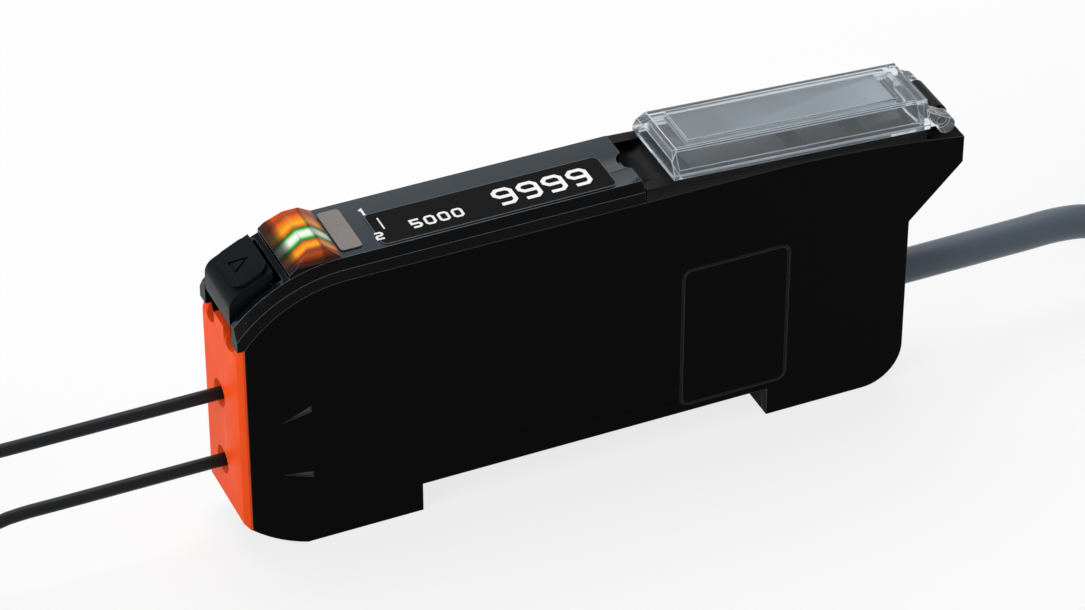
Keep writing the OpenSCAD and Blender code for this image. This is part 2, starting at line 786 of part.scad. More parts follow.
module light_guide(row, tint) {
    color(tint) place()
        slab(guide_rows[row] - guide_w / 2, guide_rows[row] + guide_w / 2) guide_side();
}

module indicator_lamp_near() { indicator_lamp(0); }
module indicator_lamp_centre() { indicator_lamp(1); }
module indicator_lamp_far() { indicator_lamp(2); }
module light_guide_near() { light_guide(0, "#ff8a1e"); }
module light_guide_centre() { light_guide(1, "#39d353"); }
module light_guide_far() { light_guide(2, "#ff8a1e"); }

// Switch on the upper board, with its round plunger
module board_switch(number) {
    color("#b9bcc2") place() translate([switch_places[number], mid_in, board_top]) {
        body_h = switch_h * 0.7;
        translate([-switch_l / 2, -switch_l / 2, 0]) cube([switch_l, switch_l, body_h]);
        cylinder(r = switch_l / 4, h = switch_h);
    }
}

module up_switch() { board_switch(0); }
module down_switch() { board_switch(1); }
module menu_switch() { board_switch(2); }
module teach_switch() { board_switch(3); }

// Opening for a push key, with room round it
module key_opening(x) {
    translate([x, mid_in, floor_low - 1]) linear_extrude(floor_t + 2)
        rounded_rect(key_l + 2 * move_gap, key_w + 2 * move_gap, 0.5 + move_gap);
}

// Black key deck: rims on the case sides, sunk floor for the keys and the hinge lug at the tail
module key_deck() {
    deck_end = total_l - wall - fit_gap;
    half = inner_w / 2 - fit_gap;
    lug_r = arm_r + move_gap / 2;
    scoop = 2.4;
    color("#151517") place() difference() {
        union() {
            // Rims that rest on the case sides
            difference() {
                slab(near, far) polygon([
                    [deck_x, case_h - wall], [deck_x, rim_z(deck_x)], [rim_end, rim_z(rim_end)],
                    [rim_end, case_h - 4 * wall]
                ]);
                slab(near - 1, far + 1) case_outline();
            }
            // Inner block between the case walls
            slab(mid_in - half, mid_in + half) polygon([
                [deck_x, floor_low], [deck_x, rim_z(deck_x)], [rim_end, rim_z(rim_end)],
                [rim_end, floor_top], [deck_end, floor_top], [deck_end, floor_low]
            ]);
            // Hinge lug
            slab(-lug_w, lug_w) {
                translate([hinge_x, hinge_z]) circle(r = lug_r);
                translate([hinge_x - lug_r, floor_low])
                    square([deck_end - hinge_x + lug_r, hinge_z - floor_low]);
            }
        }
        // Pocket over the floor
        translate([lid_x + lid_t, mid_in - deck_in, floor_top])
            cube([rim_end - lid_x - 2 * lid_t, 2 * deck_in, case_h]);
        // Finger scoop in front of the dust cover
        slab(near + arm_w, far - arm_w) translate([(deck_x + lid_x) / 2 + 0.2, case_h + scoop + 0.4])
            circle(r = scoop);
        // Openings for the keys and for the rocker's plungers
        key_opening(menu_x);
        key_opening(teach_x);
        for (side = [-1, 1]) translate([rocker_x + side * plunger_off, mid_in, floor_low - 1])
            cylinder(r = switch_l / 4 + move_gap, h = floor_t + 2);
        // Holes for the rocker's stubs and for the dust cover's stubs
        translate([rocker_x, mid_in, rocker_pivot]) cross_bar(
            rocker_stub_r + pivot_gap, -deck_in - deck_wall / 2 - fit_gap, deck_in + deck_wall / 2 + fit_gap);
        translate([hinge_x, 0, hinge_z])
            cross_bar(hinge_stub_r + pivot_gap, -lug_w - 1, lug_w + 1);
    }
}

// Rocker key for the two setting directions, tilting on two stubs
module rocker_key() {
    h = rocker_h - 2 * move_gap;
    color("#2b2c30") place() translate([rocker_x, mid_in, rocker_low]) {
        slab(-rocker_w / 2, rocker_w / 2) polygon([
            [-rocker_l / 2, 0], [-rocker_l / 2, h], [-rocker_l / 4, h - 0.35], [0, h],
            [rocker_l / 4, h - 0.35], [rocker_l / 2, h], [rocker_l / 2, 0]
        ]);
        translate([0, 0, rocker_stub_r])
            cross_bar(rocker_stub_r, -deck_in - deck_wall / 2, deck_in + deck_wall / 2);
        for (side = [-1, 1]) translate([side * plunger_off, 0, switch_top + move_gap + 0.05 - rocker_low])
            cylinder(r = switch_l / 4, h = rocker_low - switch_top - move_gap);
    }
}

// Push key with a flange under the deck's floor
module push_key(x) {
    color("#2b2c30") place() translate([x, mid_in, 0]) {
        translate([0, 0, flange_top - flange_t]) linear_extrude(flange_t)
            rounded_rect(key_l + 2 * flange_w, key_w + 2 * flange_w, 0.5);
        translate([0, 0, flange_top - flange_t]) linear_extrude(floor_top + key_h - flange_top + flange_t)
            rounded_rect(key_l, key_w, 0.5);
    }
}

module menu_key() { push_key(menu_x); }
module teach_key() { push_key(teach_x); }

// Cross-section of the dust cover, drawn inwards by a distance
module lid_section(inset = 0) {
    foot = 0.5;
    low = inset > 0 ? -1 : lid_low;
    half = lid_half - inset;
    top = lid_low + lid_h - inset;
    polygon([
        [-half, low], [half, low], [half, lid_low + foot], [half - lid_lean, top],
        [lid_lean - half, top], [-half, lid_low + foot]
    ]);
}

// Moves a piece to the dust cover's hinge, along its slope
module at_hinge() {
    translate([hinge_x, 0, hinge_z]) rotate([0, lid_slope, 0]) children();
}

// Clear dust cover with a raised panel, bevelled front and two hinge arms
module dust_cover() {
    arm_in = lug_w + move_gap;
    arm_out = lid_half - 0.3;
    top = lid_low + lid_h;
    color("#c9ced6", 0.45) place() at_hinge() {
        difference() {
            union() {
                translate([-lid_l, 0, 0]) rotate([90, 0, 90]) linear_extrude(lid_l + lid_end) lid_section();
                translate([label_front - lid_l, -label_w / 2, top - lid_t / 2])
                    cube([label_l, label_w, lid_t / 2 + 0.25]);
            }
            translate([-lid_l + lid_t, 0, 0]) rotate([90, 0, 90])
                linear_extrude(lid_l + lid_end - 2 * lid_t) lid_section(lid_t);
            // Bevel across the front
            translate([-lid_l, -case_w, top - 0.9]) rotate([0, 35, 0])
                translate([-3, 0, 0]) cube([3, 2 * case_w, 4]);
        }
        for (side = [0, 1]) mirror([0, side, 0]) {
            slab(arm_in, arm_out) {
                circle(r = arm_r);
                polygon([
                    [lid_end - 0.2, lid_low], [lid_end - 0.2, lid_low + 1.8], [0, arm_r], [arm_r * 0.6, 0],
                    [0, lid_low]
                ]);
            }
            cross_bar(hinge_stub_r, lug_w - 1.2, arm_in + 0.2);
        }
    }
}

// Bare grey label under the dust cover's top
module cover_label() {
    color("#9ea3a8") place() at_hinge()
        translate([label_front - lid_l, -label_w / 2, lid_low + lid_h - lid_t - label_t])
            cube([label_l, label_w, label_t]);
}

// Soft grommet that holds the power cable in the rear wall
module cable_grommet() {
    neck = cable_d / 2 + 0.3;
    color("#1b1b1c") place() translate([body_l - wall, 0, cable_z]) difference() {
        union() {
            long_bar(neck, wall);
            translate([-1.6, 0, 0]) long_bar(neck + 0.8, 1.6);
        }
        translate([-2, 0, 0]) long_bar(cable_d / 4, wall + 4);
    }
}

// Sweeps a tube along a route with rings set square to it
function unit(v) = v / norm(v);
function route_dir(route, i) = unit(route[min(i + 1, len(route) - 1)] - route[max(i - 1, 0)]);
function ring(at, dir, r, sides) =
    let (across = unit(cross(dir, [0, 0, 1])), up = cross(across, dir))
    [for (k = [0:sides - 1]) at + r * (cos(360 * k / sides) * across + sin(360 * k / sides) * up)];

module tube(route, d) {
    sides = 8;
    rings = len(route);
    points = [for (i = [0:rings - 1]) each ring(route[i], route_dir(route, i), d / 2, sides)];
    walls = [for (i = [0:rings - 2], k = [0:sides - 1]) [
        i * sides + k, i * sides + (k + 1) % sides, (i + 1) * sides + (k + 1) % sides, (i + 1) * sides + k
    ]];
    first = [for (k = [sides - 1:-1:0]) k];
    last = [for (k = [0:sides - 1]) (rings - 1) * sides + k];
    polyhedron(points, concat([first], walls, [last]), convexity = 4);
}

module power_cable() { color("#222326") tube(cable_route, cable_d); }

// Outline with round ends that the turns of the cable's hank follow, at a distance from its middle line
module hank_outline(r) {
    for (x = [0, cable_run]) translate([x, 0]) circle(r);
    translate([0, -r]) square([cable_run, 2 * r]);
}

// Folded hank of the power cable, as its outer shape, lying on the underside of its tie
module power_cable_coil() {
    color("#222326") translate([hank_at[0], hank_at[1], tie_t]) {
        for (column = [[fold_in, cable_layers], [fold_out - cable_d, cable_layers + 1]])
            linear_extrude(column[1] * cable_d) difference() {
                hank_outline(fold_out);
                hank_outline(column[0]);
            }
    }
}

// Flat band tied round the middle of the hank
module power_cable_tie() {
    color("#0f0f10") translate([hank_at[0] + (cable_run - hank_tie_w) / 2, hank_at[1], 0])
        rotate([90, 0, 90]) linear_extrude(hank_tie_w) difference() {
            translate([-fold_out - tie_t, 0]) square([2 * (fold_out + tie_t), hank_top + tie_t]);
            translate([-fold_out, tie_t]) square([2 * fold_out, hank_top - tie_t]);
        }
}

// Four stripped leads at the end of the power cable, lying along the hank's inner column
module lead_wires() {
    color("#7a4a2a") translate([
        hank_at[0] + lead_from[0], hank_at[1] - fold_in - cable_d / 2 + lead_from[1],
        tie_t + cable_layers * cable_d + lead_d / 2
    ])
        for (k = [-1.5:1.5]) translate([0, lead_pitch * lead_d * k, 0]) long_bar(lead_d / 2, lead_l);
}

module upper_fibre() { color("#1a1a1b") tube(upper_route, fibre_d); }
module lower_fibre() { color("#1a1a1b") tube(lower_route, fibre_d); }

// Section of a fibre coil's stacked turns, drawn outwards by a distance
module coil_section(grow = 0) {
    translate([fibre_coil_r - coil_columns * fibre_d / 2 - grow, -grow])
        square([coil_columns * fibre_d + 2 * grow, fibre_layers * fibre_d + 2 * grow]);
}

// Round coil of a fibre's stacked turns, as its outer shape, lying on the underside of its tie
module fibre_coil(at) {
    color("#1a1a1b") translate([at[0], at[1], tie_t]) rotate_extrude() coil_section();
}
module upper_fibre_coil() { fibre_coil(upper_coil_at); }
module lower_fibre_coil() { fibre_coil(lower_coil_at); }

// Band tied round one side of a fibre coil, closed round the coil's section
module fibre_tie(at) {
    color("#0f0f10") translate([at[0], at[1], tie_t]) rotate(190) rotate_extrude(angle = 20)
        difference() {
            coil_section(tie_t);
            coil_section();
        }
}
module upper_fibre_tie() { fibre_tie(upper_coil_at); }
module lower_fibre_tie() { fibre_tie(lower_coil_at); }

// Small metal sensing head at the far end of a fibre, lying across its coil
module fibre_head(at) {
    ferrule_l = 2;
    start = at + head_from * fibre_coil_r;
    color("#b8bbc0") translate([start[0], start[1], fibre_coil_top + head_r]) rotate(head_turn) {
        translate([ferrule_l, 0, 0]) long_bar(head_r, head_l);
        long_bar(head_r * 0.7, ferrule_l);
    }
}
module upper_fibre_head() { fibre_head(upper_coil_at); }
module lower_fibre_head() { fibre_head(lower_coil_at); }

main_case();
side_cover();
fibre_inlet();
fibre_clamp();
lock_lever();
optics_holder();
emitter_lamp();
receiver_diode();
main_board();
board_header();
display_board();
display_holder();
display_glass();
legend_panel();
top_cover();
indicator_lamp_near();
indicator_lamp_centre();
indicator_lamp_far();
light_guide_near();
light_guide_centre();
light_guide_far();
up_switch();
down_switch();
menu_switch();
teach_switch();
key_deck();
rocker_key();
menu_key();
teach_key();
dust_cover();
cover_label();
cable_grommet();
power_cable();
power_cable_coil();
power_cable_tie();
lead_wires();
upper_fibre();
upper_fibre_coil();
upper_fibre_tie();
upper_fibre_head();
lower_fibre();
lower_fibre_coil();
lower_fibre_tie();
lower_fibre_head();
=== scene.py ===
# Fibre optic sensor amplifier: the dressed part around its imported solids.
# Metres, in the solids' own frame: X from the fibre end to the cable end, Y across, Z up.
import math
import bmesh
import bpy
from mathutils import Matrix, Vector


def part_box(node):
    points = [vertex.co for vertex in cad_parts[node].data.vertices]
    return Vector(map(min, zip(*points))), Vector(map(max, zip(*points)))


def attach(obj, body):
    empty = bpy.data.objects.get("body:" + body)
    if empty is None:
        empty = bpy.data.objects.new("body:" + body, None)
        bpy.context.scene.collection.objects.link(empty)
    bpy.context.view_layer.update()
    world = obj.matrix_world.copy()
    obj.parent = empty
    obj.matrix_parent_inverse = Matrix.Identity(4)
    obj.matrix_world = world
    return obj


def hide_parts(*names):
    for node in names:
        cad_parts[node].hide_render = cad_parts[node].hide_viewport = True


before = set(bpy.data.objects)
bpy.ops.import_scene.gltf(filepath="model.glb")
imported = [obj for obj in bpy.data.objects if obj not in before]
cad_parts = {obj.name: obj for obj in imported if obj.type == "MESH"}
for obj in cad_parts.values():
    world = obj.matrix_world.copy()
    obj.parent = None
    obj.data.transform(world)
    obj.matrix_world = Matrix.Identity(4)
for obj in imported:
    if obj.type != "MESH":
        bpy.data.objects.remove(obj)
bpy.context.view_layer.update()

# Camera
# A long lens from above the near side, at the photograph's angle, looking at the middle of the case.
VIEW_TARGET = Vector((-0.00488, 0.0, 0.0169))
VIEW_DISTANCE = 0.43322
view_turn, view_rise = math.radians(-23.94), math.radians(36.72)
view_back = Vector((
    math.sin(view_turn) * math.cos(view_rise),
    -math.cos(view_turn) * math.cos(view_rise),
    math.sin(view_rise),
))
camera = bpy.data.objects.new("photo_camera", bpy.data.cameras.new("photo_camera"))
camera.data.sensor_width = 36.0
camera.data.lens = 149.31
camera.data.clip_start = 0.01
camera.data.clip_end = 20.0
camera.location = VIEW_TARGET + VIEW_DISTANCE * view_back
camera.rotation_euler = (-view_back).to_track_quat("-Z", "Y").to_euler()
bpy.context.collection.objects.link(camera)
bpy.context.scene.camera = camera

# Fibres
# Two plastic optical fibres in black sheaths, pushed into the orange inlet and held by its clamp.
# Each runs out level, comes down to the table and is wound up, with its sensing head on the coil.
MM = 0.001
FIBRE_D = 1.3 * MM
FIBRE_LENGTH = 1.0
FIBRE_COLUMNS = 4
FIBRE_TURNS = 20 + 140 / 360
FIBRE_COIL_R = (6.0 * MM, 8.0 * MM)
FIBRE_END_BEND = (5.5 * MM, 80, 2.15 * MM)
FIBRE_IN_HEAD = 2.0 * MM
CORD_STEP = 1.0 * MM
# The routes' points, and the fibres' distance from the middle in them, are in millimetres
FIBRE_Y = 0.8
upper_route = [
    (-30.4, FIBRE_Y, 16), (-34, FIBRE_Y, 16), (-38, FIBRE_Y, 16), (-42, FIBRE_Y, 16), (-46, FIBRE_Y, 16),
    (-50, FIBRE_Y, 16), (-54, FIBRE_Y, 16), (-58, FIBRE_Y, 16), (-62, FIBRE_Y, 16), (-64.4, FIBRE_Y, 15.6),
    (-66.5, FIBRE_Y, 14.4), (-68.1, FIBRE_Y, 12.5), (-70.4, FIBRE_Y, 8.5), (-72.7, FIBRE_Y, 4.5),
    (-74.3, FIBRE_Y, 2.6), (-76.4, FIBRE_Y, 1.4), (-78.8, FIBRE_Y, 0.95), (-85, FIBRE_Y, 0.95),
    (-90.8, FIBRE_Y, 0.95), (-96, FIBRE_Y, 0.95),
]
lower_route = [
    (-30.4, FIBRE_Y, 8), (-34, FIBRE_Y, 8), (-38, FIBRE_Y, 8), (-42, FIBRE_Y, 8), (-46, FIBRE_Y, 8),
    (-50, FIBRE_Y, 8), (-54, FIBRE_Y, 8), (-58, FIBRE_Y, 8), (-60.4, 0.9, 7.6), (-62.5, 1.2, 6.4),
    (-64.1, 1.6, 4.5), (-65.7, 2.1, 2.6), (-67.8, 2.8, 1.4), (-70.2, 3.5, 0.95), (-72.6, 3.9, 0.95),
    (-75, 4, 0.95),
]


def through(points, step):
    """Points along a smooth line through the given ones, about a step apart."""
    line = [Vector(p) for p in points]
    ends = [2 * line[0] - line[1]] + line + [2 * line[-1] - line[-2]]
    out = []
    for a, b, c, d in zip(ends, ends[1:], ends[2:], ends[3:]):
        parts = max(1, round((c - b).length / step))
        for i in range(parts):
            t = i / parts
            out.append(0.5 * (2 * b + (c - a) * t + (2 * a - 5 * b + 4 * c - d) * t * t
                              + (3 * b - a - 3 * c + d) * t ** 3))
    return out + [line[-1]]


def length_of(points):
    return sum((b - a).length for a, b in zip(points, points[1:]))


def ease(t):
    return t * t * (3 - 2 * t)


def wound(entry, heading, way, mean_r, columns, d, turns, run=0.0, per_turn=28):
    """Turns of a coil from an entry point heading along X, way +1 leftwards or -1 rightwards.

    The first layer spirals in, climbs half a turn, the next spirals out, and so on upwards. A run draws
    the turns out along X into a hank: every first half of a turn is a fold at its far end, the other one
    at its near end.
    """
    reach = (columns - 1) / 2 * d
    start = math.radians(-90 if heading > 0 else 90) * way
    centre = entry + Vector((0, way * heading * (mean_r + reach), 0))
    out = []
    per_layer = columns - 0.5
    last = round(turns * per_turn)
    for i in range(last + 1):
        turn = i / per_turn
        layer = int(turn / per_layer)
        part = turn - layer * per_layer
        share = min(1.0, part / (columns - 1))
        climb = ease(max(0.0, (part - columns + 1) / 0.5))
        inward = share if layer % 2 == 0 else 1 - share
        r = mean_r + reach - 2 * reach * inward
        angle = start + way * turn * 2 * math.pi
        place = centre + Vector((r * math.cos(angle), r * math.sin(angle), (layer + climb) * d))
        half, into = divmod(2 * i, per_turn)
        folds = [half] if into else [half - 1, half]
        if run == 0 or i == last:
            folds = folds[:1]
        out += [place + Vector((heading * run if fold % 2 == 0 else 0, 0, 0)) for fold in folds]
    return out


def bent_on(points, way, radius, degrees, rise, steps=16):
    """The line carried on in a level bend of a radius, rising softly on its way."""
    along = points[-1] - points[-2]
    heading = math.atan2(along.y, along.x)
    centre = points[-1] + radius * Vector((-way * math.sin(heading), way * math.cos(heading), 0))
    out = list(points)
    for i in range(1, steps + 1):
        angle = heading - way * math.pi / 2 + way * math.radians(degrees) * i / steps
        lift = rise * ease(i / steps)
        out.append(centre + Vector((radius * math.cos(angle), radius * math.sin(angle), lift)))
    return out


def carried_on(points, distance):
    """The line carried straight on for a distance, level."""
    along = points[-1] - points[-2]
    return points + [points[-1] + distance * Vector((along.x, along.y, 0)).normalized()]


def of_length(build, low, high, length):
    """The line that a builder makes from one size, with the size set so that the line has its length."""
    for _ in range(40):
        size = (low + high) / 2
        line = build(size)
        low, high = (size, high) if length_of(line) < length else (low, size)
    return line


def cord_piece(name, line, d, material):
    """A round cord along a line."""
    curve = bpy.data.curves.new(name, "CURVE")
    curve.dimensions = "3D"
    curve.bevel_depth = d / 2
    curve.bevel_resolution = 5
    curve.use_fill_caps = True
    spline = curve.splines.new("POLY")
    spline.points.add(len(line) - 1)
    for point, place in zip(spline.points, line):
        point.co = (*place, 1.0)
    spline.use_smooth = True
    curve.materials.append(material)
    piece = bpy.data.objects.new(name, curve)
    bpy.context.collection.objects.link(piece)
    return piece


def moulded(name, colour, rough, grain=5200.0, relief=0.12, level=0.5, painted_glint=0.0):
    """Moulded plastic: a slow drift of tone, and a fine grain in its gloss and its relief.

    Grain is in features per metre, relief is the bump's strength, level the specular level, and fleck the
    share of rare pale specks painted into the colour: painted glints, where a textured mould catches the
    light.
    """
    material = bpy.data.materials.new(name)
    material.use_nodes = True
    nodes, links = material.node_tree.nodes, material.node_tree.links
    shader = nodes["Principled BSDF"]
    shader.inputs["Specular IOR Level"].default_value = level
    place = nodes.new("ShaderNodeTexCoord")

    drift = nodes.new("ShaderNodeTexNoise")
    drift.inputs["Scale"].default_value = 140.0
    drift.inputs["Detail"].default_value = 2.0
    links.new(place.outputs["Object"], drift.inputs["Vector"])
    tone = nodes.new("ShaderNodeMix")
    tone.data_type = "RGBA"
    tone.inputs[6].default_value = (*[0.86 * c for c in colour], 1)
    tone.inputs[7].default_value = (*[min(1.0, 1.14 * c) for c in colour], 1)
    links.new(drift.outputs["Fac"], tone.inputs[0])

    fine = nodes.new("ShaderNodeTexNoise")
    fine.inputs["Scale"].default_value = grain
    fine.inputs["Detail"].default_value = 3.0
    links.new(place.outputs["Object"], fine.inputs["Vector"])
    gloss = nodes.new("ShaderNodeMapRange")
    gloss.inputs["To Min"].default_value = max(0.02, rough - 0.08)
    gloss.inputs["To Max"].default_value = min(1.0, rough + 0.08)
    links.new(fine.outputs["Fac"], gloss.inputs["Value"])
    links.new(gloss.outputs["Result"], shader.inputs["Roughness"])
    bump = nodes.new("ShaderNodeBump")
    bump.inputs["Strength"].default_value = relief
    bump.inputs["Distance"].default_value = 0.02 * MM
    links.new(fine.outputs["Fac"], bump.inputs["Height"])
    links.new(bump.outputs["Normal"], shader.inputs["Normal"])

    # Painted glints: rare pale specks mixed into the base colour.
    if painted_glint > 0:
        speck = nodes.new("ShaderNodeTexVoronoi")
        speck.inputs["Scale"].default_value = 2600.0
        links.new(place.outputs["Object"], speck.inputs["Vector"])
        rare = nodes.new("ShaderNodeMapRange")
        rare.inputs["From Min"].default_value = 0.10
        rare.inputs["From Max"].default_value = 0.02
        rare.inputs["To Max"].default_value = painted_glint
        links.new(speck.outputs["Distance"], rare.inputs["Value"])
        mixed = nodes.new("ShaderNodeMix")
        mixed.data_type = "RGBA"
        mixed.inputs[7].default_value = (0.25, 0.27, 0.3, 1)
        links.new(rare.outputs["Result"], mixed.inputs[0])
        links.new(tone.outputs[2], mixed.inputs[6])
        links.new(mixed.outputs[2], shader.inputs["Base Color"])
    else:
        links.new(tone.outputs[2], shader.inputs["Base Color"])
    return material


def paint(node, material):
    """Gives a solid's own object a finish."""
    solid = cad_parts[node]
    solid.data.materials.clear()
    solid.data.materials.append(material)


fibre_sheath = moulded("fibre_sheath", (0.007, 0.009, 0.011), 0.34, relief=0.05, level=0.15)
tie_band = moulded("tie_band", (0.012, 0.012, 0.013), 0.5)
head_metal = moulded("head_metal", (0.55, 0.56, 0.58), 0.3, grain=9000.0, relief=0.04)
head_metal.node_tree.nodes["Principled BSDF"].inputs["Metallic"].default_value = 1.0
for fibre_name, route in (("upper_fibre", upper_route), ("lower_fibre", lower_route)):
    lead_in = through([Vector(p) * MM for p in route], CORD_STEP)

    def coiled(mean_r):
        """The whole fibre, for a mean radius of its coil."""
        coil = wound(lead_in[-1], -1, -1, mean_r, FIBRE_COLUMNS, FIBRE_D, FIBRE_TURNS)
        return carried_on(bent_on(lead_in + coil[1:], -1, *FIBRE_END_BEND), FIBRE_IN_HEAD)

    line = of_length(coiled, *FIBRE_COIL_R, FIBRE_LENGTH)
    fibre = cord_piece(fibre_name + "_cord", line, FIBRE_D, fibre_sheath)
    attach(fibre, "amplifier")
    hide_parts(fibre_name, fibre_name + "_coil")
    paint(fibre_name + "_tie", tie_band)
    paint(fibre_name + "_head", head_metal)

# Power cable
# A round four-core cable with a dark grey sheath, held in the rear wall by its soft grommet.
# It comes down to the table and is folded into a tied hank; its four cores are stripped for terminals.
CABLE_D = 3.5 * MM
CABLE_LENGTH = 2.0
CABLE_COLUMNS = 2
CABLE_TURNS = 10
CABLE_FOLD = 3.5 * CABLE_D
CABLE_RUN = (50.0 * MM, 65.0 * MM)
CABLE_TAIL = 36.0 * MM
LEAD_D = 0.9 * MM
LEAD_L = 16.0 * MM
LEAD_PARTS = 16
LEAD_BARE_FROM = 12
LEAD_BARE_D = 0.55 * LEAD_D
LEAD_PITCH = 1.05 * LEAD_D
LEAD_SHIFT = 0.22 * MM
LEAD_DROP = 1.3 * MM
cable_route = [
    (32.2, 0, 9.8), (38, 0, 9.8), (44, 0, 9.8), (48, 0, 9.8), (52, 0, 9.8), (55.6, -0.2, 9.35),
    (59, -0.8, 8.05), (62, -1.5, 6), (65, -2.2, 3.85), (66.8, -2.6, 2.95), (69, -2.95, 2.3),
    (71.2, -3.1, 2.05), (74, -3.1, 2.05), (78, -3.1, 2.05), (82, -3.1, 2.05),
]
cable_sheath = moulded("cable_sheath", (0.08, 0.105, 0.14), 0.42, relief=0.08, level=0.4)
paint("cable_grommet", moulded("grommet_rubber", (0.012, 0.012, 0.013), 0.55))
paint("power_cable_tie", tie_band)

lead_in = through([Vector(p) * MM for p in cable_route], CORD_STEP)


def folded(run):
    """The whole cable, for a straight run of its hank."""
    hank = wound(lead_in[-1], 1, 1, CABLE_FOLD, CABLE_COLUMNS, CABLE_D, CABLE_TURNS, run)
    return carried_on(lead_in + hank[1:], CABLE_TAIL)


line = of_length(folded, *CABLE_RUN, CABLE_LENGTH)
cable = cord_piece("power_cable_cord", line, CABLE_D, cable_sheath)
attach(cable, "amplifier")
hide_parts("power_cable", "power_cable_coil")

copper = moulded("bare_copper", (0.75, 0.32, 0.16), 0.28, relief=0.05)
copper.node_tree.nodes["Principled BSDF"].inputs["Metallic"].default_value = 1.0
for number, (core, tint) in enumerate((
    ("brown", (0.16, 0.06, 0.025)), ("white", (0.72, 0.72, 0.70)),
    ("black", (0.012, 0.012, 0.013)), ("blue", (0.02, 0.10, 0.42)),
)):
    side = LEAD_SHIFT + (number - 1.5) * LEAD_PITCH
    lead = []
    for k in range(LEAD_PARTS + 1):
        t = k / LEAD_PARTS
        spread, drop = ease(min(1.0, 0.3 + 1.4 * t)), ease(min(1.0, 2 * t))
        lead.append(line[-1] + Vector((LEAD_L * t, side * spread, -LEAD_DROP * drop)))
    core_sheath = moulded(core + "_core", tint, 0.4, relief=0.05)
    for label, points, d, finish in (
        (core + "_lead", lead[:LEAD_BARE_FROM + 1], LEAD_D, core_sheath),
        (core + "_lead_tip", lead[LEAD_BARE_FROM:], LEAD_BARE_D, copper),
    ):
        piece = cord_piece(label, points, d, finish)
        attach(piece, "amplifier")
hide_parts("lead_wires")

# Inner parts
# Green coated boards, black plastic holders, tinned switches, and lamps and eyes of cast resin.
# They are soldered, screwed or clipped inside the closed case, where little of them is seen.
board = moulded("coated_board", (0.02, 0.15, 0.06), 0.35, grain=2400.0)
inner = moulded("inner_plastic", (0.022, 0.022, 0.024), 0.5)
tin = moulded("switch_tin", (0.6, 0.61, 0.63), 0.3, grain=7000.0)
tin.node_tree.nodes["Principled BSDF"].inputs["Metallic"].default_value = 1.0
lamp = moulded("lamp_body", (0.8, 0.77, 0.66), 0.25)
eye = moulded("eye_resin", (0.62, 0.7, 0.85), 0.1)
dark_eye = moulded("dark_eye_resin", (0.02, 0.022, 0.05), 0.1)
for finish, nodes in (
    (board, ("main_board", "display_board")),
    (inner, ("board_header", "display_holder", "optics_holder", "fibre_clamp")),
    (tin, ("up_switch", "down_switch", "menu_switch", "teach_switch")),
    (lamp, ("indicator_lamp_near", "indicator_lamp_centre", "indicator_lamp_far")),
    (eye, ("emitter_lamp",)),
    (dark_eye, ("receiver_diode", "display_glass")),
):
    for node in nodes:
        paint(node, finish)

# Case
# Two black moulded shells: the far one with floor and rear wall, and the flat near one that closes it.
# Both have a fine mould grain with rare pale specks, which are painted glints, and eased edges. The near
# side's eased edges and its two grooves by the fibre holes are a little paler: a painted highlight.
CASE_EDGE = 0.12 * MM
GROOVES_X = (-34.2 * MM, -29.8 * MM)
GROOVES_Z = ((6.8 * MM, 8.8 * MM), (15.2 * MM, 17.2 * MM))
GROOVES_Y = -4.2 * MM
WELD = 0.001 * MM
FLAT = math.radians(1.0)
CREASE = math.radians(30)


def softened(node, name, body, width, finishes):
    """A copy of a solid with its triangles merged into faces and its edges eased, in that solid's place."""
    build = bmesh.new()
    build.from_mesh(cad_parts[node].data)
    bmesh.ops.remove_doubles(build, verts=build.verts, dist=WELD)
    bmesh.ops.dissolve_limit(build, angle_limit=FLAT, verts=build.verts, edges=build.edges)
    mesh = bpy.data.meshes.new(name)
    build.to_mesh(mesh)
    build.free()
    for finish in finishes:
        mesh.materials.append(finish)
    for polygon in mesh.polygons:
        polygon.material_index = 0
    mesh.shade_smooth()
    mesh.set_sharp_from_angle(angle=CREASE)
    piece = bpy.data.objects.new(name, mesh)
    bpy.context.collection.objects.link(piece)
    eased = piece.modifiers.new("eased_edges", "BEVEL")
    eased.width = width
    eased.segments = 2
    eased.limit_method = "ANGLE"
    eased.angle_limit = CREASE
    eased.harden_normals = True
    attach(piece, body)
    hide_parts(node)
    return piece


# Black case plastic, with a small share of painted glints in its colour.
case_plastic = moulded("case_plastic", (0.0022, 0.0021, 0.0024), 0.5, level=0.025, painted_glint=0.05)
# Painted highlights: a paler grey for the two grooves and a bluish one for the near side's eased edges.
groove_painted_highlight = moulded("groove_painted_highlight", (0.06, 0.062, 0.066), 0.5, level=0.2)
side_edge_painted_highlight = moulded("side_edge_painted_highlight", (0.018, 0.022, 0.028), 0.3, relief=0.02, level=0.25)
GROOVE_HIGHLIGHT_FINISH, SIDE_EDGE_HIGHLIGHT_FINISH = 1, 2
softened("main_case", "main_case_shell", "amplifier", CASE_EDGE, [case_plastic])
near_side = softened(
    "side_cover", "side_cover_shell", "amplifier", CASE_EDGE,
    [case_plastic, groove_painted_highlight, side_edge_painted_highlight])
# The near side's eased edges take the painted highlight.
near_side.modifiers["eased_edges"].material = SIDE_EDGE_HIGHLIGHT_FINISH
# The grooves' faces take the paler grey, a painted highlight.
for polygon in near_side.data.polygons:
    x, y, z = polygon.center
    if GROOVES_X[0] < x < GROOVES_X[1] and y < GROOVES_Y and any(a < z < b for a, b in GROOVES_Z):
        polygon.material_index = GROOVE_HIGHLIGHT_FINISH

# Fibre inlet
# The orange front block with its two fibre holes, and two scoops in its top edge under the lever.
# It is a satin moulding, held between the two shells.
INLET_EDGE = 0.1 * MM
inlet_plastic = moulded("inlet_plastic", (0.95, 0.088, 0.014), 0.4, relief=0.06, level=0.03)
softened("fibre_inlet", "fibre_inlet_block", "amplifier", INLET_EDGE, [inlet_plastic])

